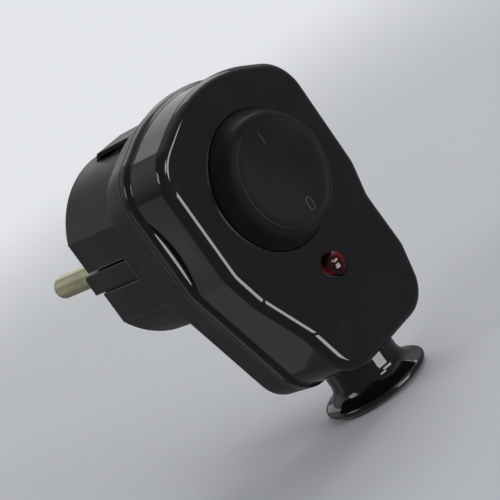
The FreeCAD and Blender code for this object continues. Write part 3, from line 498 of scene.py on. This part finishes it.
# turned points (a, b, h) to the frame: their axis runs along Y at the piece's own z
def facing(points, c):
    return np.stack([points[:, 0], points[:, 2], points[:, 1] + c["z"]], axis=-1)


def buildBoot(c):
    top, flank = c["face"] - c["height"], c["face"] - c["foot"]
    under, innerRadius = top + c["wall"], c["radius"] - c["wall"]
    crownReach = c["topRadius"] - c["shoulder"]
    # from the crown's rim down the outside, round the flange, and up the inside: corner and its radius
    bends = [((crownReach, top - c["crownLift"]), 0), ((c["topRadius"], top), c["shoulder"]),
             ((c["radius"], flank), 0.9), ((c["radius"], c["flangeFront"]), 0.15),
             ((c["flange"], c["flangeFront"]), 0.2), ((c["flange"], c["flangeRear"]), 0.2),
             ((innerRadius, c["flangeRear"]), 0.1), ((innerRadius, flank), 0.5),
             ((c["topRadius"] - c["wall"], under), 1.1), ((crownReach - c["underInset"], under), 0)]
    outer = roundCorners([corner for corner, _ in bends], [radius for _, radius in bends], 12)
    # crown: shallow paraboloid inside the shoulder
    r = np.linspace(0, crownReach, 26)[:-1]
    crown = np.stack([r, top - c["crownLift"] - c["crown"] * (1 - (r / crownReach) ** 2)], axis=-1)
    inner = np.stack([r[::-1] * c["underShare"], np.full(len(r), under)], axis=-1)
    profile = np.vstack([crown, outer, inner])

    # waves: 7 and 13 to a turn, fading as a bell curve above and below their depth on the flank
    def place(points):
        a = np.arctan2(points[:, 1], points[:, 0])
        radius = np.hypot(points[:, 0], points[:, 1])
        depth = (points[:, 2] - (top + c["wavesDepth"])) / c["wavesReach"]
        onFlank = np.exp(-depth ** 2) * (radius > crownReach)
        swell = 1 + c["waves"] / c["radius"] * onFlank * (np.sin(7 * a + 0.6) + 0.6 * np.sin(13 * a))
        points = points * np.stack([swell, swell, 1 + 0 * swell], axis=-1)
        # the crown's rim stands up as a soft fold, highest towards the lower left
        fold = np.exp(-((radius - c["ridgeRadius"]) / c["ridgeWidth"]) ** 2)
        fold = fold * (points[:, 2] < top + c["ridgeDepth"])
        points[:, 2] -= c["ridge"] * fold * (c["ridgeMean"] + c["ridgeSwing"] * np.cos(a + c["ridgeTurn"]))
        return facing(points, c)
    piece = domedLathe("boot_skin", profile, 200, place, rubber)
    piece.data.flip_normals()
    return piece


bootSkin = buildBoot(boot)
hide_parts("rubber_boot")
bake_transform(bootSkin)
print("boot ready")


# Switch marks: a plain nought and a plain bar, raised on the boot's crown

marks = dict(height=2.9, width=1.7, stroke=0.34, raised=0.14, far=7.5, aside=0.7, ovalPower=2.6,
             taperSteps=4, taperLeast=0.05)


# the boot's crown is a shallow paraboloid
def crownLevel(x, z, c):
    reach = c["topRadius"] - c["shoulder"]
    share = np.clip((x * x + (z - c["z"]) ** 2) / reach ** 2, 0, 1)
    return c["face"] - c["height"] - c["crownLift"] - c["crown"] * (1 - share)


# low round ridge along a path on the crown: section (s, up) = (w sin t, h cos t)
def raisedStroke(name, path, closed, c):
    if closed:
        along = np.roll(path, -1, axis=0) - np.roll(path, 1, axis=0)
    else:
        along = np.gradient(path, axis=0)
    along = along / np.linalg.norm(along, axis=1)[:, None]
    side = np.stack([along[:, 1], -along[:, 0]], axis=-1)
    t = np.linspace(0, 2 * np.pi, 16, endpoint=False)
    width = np.full(len(path), c["stroke"] / 2)
    if not closed:  # open ends narrow as a quarter circle
        ends = np.minimum(np.arange(len(path)), np.arange(len(path))[::-1]) / c["taperSteps"]
        width = width * np.sqrt(np.clip(1 - (1 - np.clip(ends, 0, 1)) ** 2, c["taperLeast"], 1))
    flat = path[:, None, :] + side[:, None, :] * (width[:, None] * np.sin(t))[:, :, None]
    lift = c["raised"] * np.cos(t)[None, :] * (width / width.max())[:, None]
    y = crownLevel(flat[:, :, 0], flat[:, :, 1], boot) - lift
    grid = np.stack([flat[:, :, 0], y, flat[:, :, 1]], axis=-1)
    rows, columns = grid.shape[:2]
    faces = ringFaces(rows, columns, closed).tolist()
    if not closed:
        faces.append(list(range(columns)))
        faces.append([(rows - 1) * columns + j for j in range(columns)][::-1])
    return meshObject(name, grid.reshape(-1, 3), faces, wornRubber)


# upright rounded oval: superellipse
def ovalPath(cx, cz, width, height, power):
    a = np.linspace(0, 2 * np.pi, 64, endpoint=False)
    ca, sa = np.cos(a), np.sin(a)
    return np.stack([cx + width / 2 * np.sign(ca) * np.abs(ca) ** (2 / power),
                     cz + height / 2 * np.sign(sa) * np.abs(sa) ** (2 / power)], axis=-1)


# the nought stands below the crown's middle, the bar above it
def buildMarks(c):
    width, height = c["width"] - c["stroke"], c["height"] - c["stroke"]
    oval = ovalPath(c["aside"], boot["z"] - c["far"], width, height, c["ovalPower"])
    up = boot["z"] + c["far"] + height * np.linspace(-0.5, 0.5, 24)
    line = np.stack([np.zeros(24), up], axis=-1)
    return raisedStroke("mark_off", oval, True, c), raisedStroke("mark_on", line, False, c)


for mark in buildMarks(marks):
    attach(mark, "rocker")
print("marks ready")


# Lamp lens: clear red dome on a tube

lens = dict(z=-19.2, top=-47.139, radius=2.6, dome=1.75, innerDome=1.5, wall=0.55, tube=1.2, seat=-42.1,
            flange=3.4, flangeRear=-41.2, edge=0.1)


def buildLens(c):
    r, innerR, e = c["radius"], c["radius"] - c["wall"], c["edge"]
    a = np.linspace(0, math.pi / 2, 16)
    crown = np.stack([r * np.sin(a), c["top"] + c["dome"] * (1 - np.cos(a))], axis=-1)
    tube = np.array([[r, c["seat"] - c["tube"]], [r, c["seat"]], [c["flange"] - e, c["seat"]],
                     [c["flange"], c["seat"] + e], [c["flange"], c["flangeRear"] - e],
                     [c["flange"] - e, c["flangeRear"]], [innerR, c["flangeRear"]], [innerR, c["seat"]]])
    a = a[::-1]
    hollow = np.stack([innerR * np.sin(a), c["top"] + c["wall"] + c["innerDome"] * (1 - np.cos(a))], axis=-1)
    profile = np.vstack([crown, tube, hollow])
    piece = domedLathe("lamp_dome", profile, 96, lambda points: facing(points, c), redAcrylic)
    piece.data.flip_normals()
    return piece


lampDome = buildLens(lens)
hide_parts("lamp_lens")
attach(lampDome, "housing")
print("lens ready")


# Carried-over solids: one material for each record slot, and for the strap a dark one that paints its shade

bySlot = {"housing_matte": matteAbs, "cover_gloss": glossAbs, "boot_rubber": rubber,
          "switch_moulding": thermoset, "pin_brass": nickelBrass, "contact_brass": sheetBrass,
          "screw_steel": zincSteel, "lens_red": redAcrylic, "lamp_glass": lampGlass,
          "resistor_lacquer": lacquer, "tinned_wire": tinnedWire}
for part in frame["record"]["subparts"]:
    node = frame["nodes"][part["node"]]
    for place in node.material_slots:
        place.material = shadeDarkStrip if part["node"] == "earth_strap" else bySlot[part["material_slot"]]
print("solids dressed")


# Camera at the photograph's place, standing on the fitted pinhole: place in metres, three directions

photo = dict(place=(-0.1998740, -0.2729024, 0.0514766), right=(0.5629707, -0.6016141, -0.5666785),
             down=(-0.5468874, 0.2429084, -0.8011927), ahead=(0.6196597, 0.7609573, -0.1922649),
             focalPixels=1683.55, imagePixels=500, sensor=36)


def buildCamera(c):
    data = bpy.data.cameras.new("photo_camera")
    data.sensor_width = c["sensor"]
    data.lens = c["focalPixels"] / c["imagePixels"] * c["sensor"]
    data.clip_start = 0.01
    data.dof.use_dof = False
    camera = bpy.data.objects.new("photo_camera", data)
    right, down, ahead = Vector(c["right"]), Vector(c["down"]), Vector(c["ahead"])
    turn = Matrix((right, -down, -ahead)).transposed().to_4x4()
    camera.matrix_world = Matrix.Translation(Vector(c["place"])) @ turn
    scene.collection.objects.link(camera)
    scene.camera = camera


buildCamera(photo)


# Studio: pale paper floor and backdrop, a dim room in front of the object, and soft lamps

# back and mirror: azimuth and elevation of a pale side, and the cosines from it at which the pale
# starts and would be full; fade and target are in metres
studio = dict(room="e4e6e9", shade="6e6f72", paper="e2e4e7", back=(10.0, 55.0, 0.6, 1.15),
              mirror=(100.0, 25.0, 0.84, 1.15), floorDrop=0.6, floorHalf=6000.0, fadeStart=0.2,
              fadeEnd=0.7, target=(0.0, -0.035, -0.005))

# lamp: azimuth and elevation in degrees, distance, width and height in metres, radiance
lamps = {"back_soft": (15, 50, 0.9, 0.55, 0.5, 2.0),
         "top_panel": (56, 24, 0.8, 0.46, 0.52, 0.6),
         "window": (146, 36, 0.75, 0.3, 0.24, 3.0),
         "side_card": (123, -14, 0.7, 0.22, 0.5, 0.2),
         "front_lamp": (-93, 26, 0.8, 0.26, 0.12, 7.0),
         "middle_lamp": (-74, 12, 0.7, 0.36, 0.14, 6.5),
         "low_lamp": (-82, -18, 0.7, 0.38, 0.3, 6.5)}


def direction(azimuth, elevation):
    az, el = math.radians(azimuth), math.radians(elevation)
    return Vector((math.cos(el) * math.cos(az), math.cos(el) * math.sin(az), math.sin(el)))


# pale at the back, dim in front; the camera and clear bodies see it pale all round, gloss and metal
# only towards the back and the mirror side, so that the black gloss stays dark
def buildRoom(c):
    world = bpy.data.worlds.new("soft room")
    scene.world = world
    world.use_nodes = True
    tree = world.node_tree
    looked = addNode(tree, "ShaderNodeTexCoord").outputs["Generated"]
    shares = []
    for azimuth, elevation, start, full in (c["back"], c["mirror"]):
        along = addNode(tree, "ShaderNodeVectorMath", {0: looked}, {1: direction(azimuth, elevation)},
                        operation="DOT_PRODUCT")
        share = addNode(tree, "ShaderNodeMapRange", {"Value": along.outputs["Value"]},
                        interpolation_type="SMOOTHSTEP", From_Min=start, From_Max=full)
        shares.append(share.outputs["Result"])
    pale, mirrored = shares
    path = addNode(tree, "ShaderNodeLightPath")
    glossy = addNode(tree, "ShaderNodeMath", {0: path.outputs["Is Glossy Ray"], 1: mirrored},
                     operation="MULTIPLY")
    for seen in (path.outputs["Is Camera Ray"], path.outputs["Is Transmission Ray"], glossy.outputs["Value"]):
        pale = addNode(tree, "ShaderNodeMath", {0: pale, 1: seen}, operation="MAXIMUM").outputs["Value"]
    colour = addNode(tree, "ShaderNodeMix", {"Factor": pale}, {6: linear(c["shade"]), 7: linear(c["room"])},
                     data_type="RGBA")
    tree.links.new(colour.outputs[2], tree.nodes["Background"].inputs["Color"])


# matt paper near the object, blended by distance into the colour of the room
def buildFloor(c):
    z = min(v[2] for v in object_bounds()) * 1000 - c["floorDrop"]
    h = c["floorHalf"]
    corners = [[-h, -h, z], [h, -h, z], [h, h, z], [-h, h, z]]
    material, tree, shader, coords = startMaterial("matt drawing paper")
    shader.inputs["Base Color"].default_value = linear(c["paper"])
    tree.links.new(noiseBand(tree, coords, 4.0, 0.65, 0.85), shader.inputs["Roughness"])
    away = addNode(tree, "ShaderNodeVectorMath", {0: coords}, operation="LENGTH")
    fade = addNode(tree, "ShaderNodeMapRange", {"Value": away.outputs["Value"]},
                   interpolation_type="SMOOTHSTEP", From_Min=c["fadeStart"], From_Max=c["fadeEnd"])
    glow = addNode(tree, "ShaderNodeEmission", Color=linear(c["room"]))
    blend = addNode(tree, "ShaderNodeMixShader",
                    {"Fac": fade.outputs["Result"], 1: shader.outputs["BSDF"], 2: glow.outputs["Emission"]})
    tree.links.new(blend.outputs["Shader"], tree.nodes["Material Output"].inputs["Surface"])
    floor = meshObject("floor", corners, [[0, 1, 2, 3]], material)
    floor.visible_shadow = False  # the low lamp shines up through it, as through a glass table
    floor.visible_glossy = False  # its pale colour would wash out the black gloss
    floor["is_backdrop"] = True


def buildLamp(name, azimuth, elevation, distance, width, height, radiance):
    data = bpy.data.lights.new(name, "AREA")
    data.shape = "RECTANGLE"
    data.size, data.size_y = width, height
    data.energy = radiance * math.pi * width * height
    toward = direction(azimuth, elevation)
    lamp = bpy.data.objects.new(name, data)
    lamp.matrix_world = (Matrix.Translation(Vector(studio["target"]) + toward * distance)
                         @ toward.to_track_quat("Z", "Y").to_matrix().to_4x4())
    lamp.visible_camera = False
    scene.collection.objects.link(lamp)


buildRoom(studio)
buildFloor(studio)
for lampName, lamp in lamps.items():
    buildLamp(lampName, *lamp)
print("studio ready")

scene.view_settings.view_transform = "Standard"
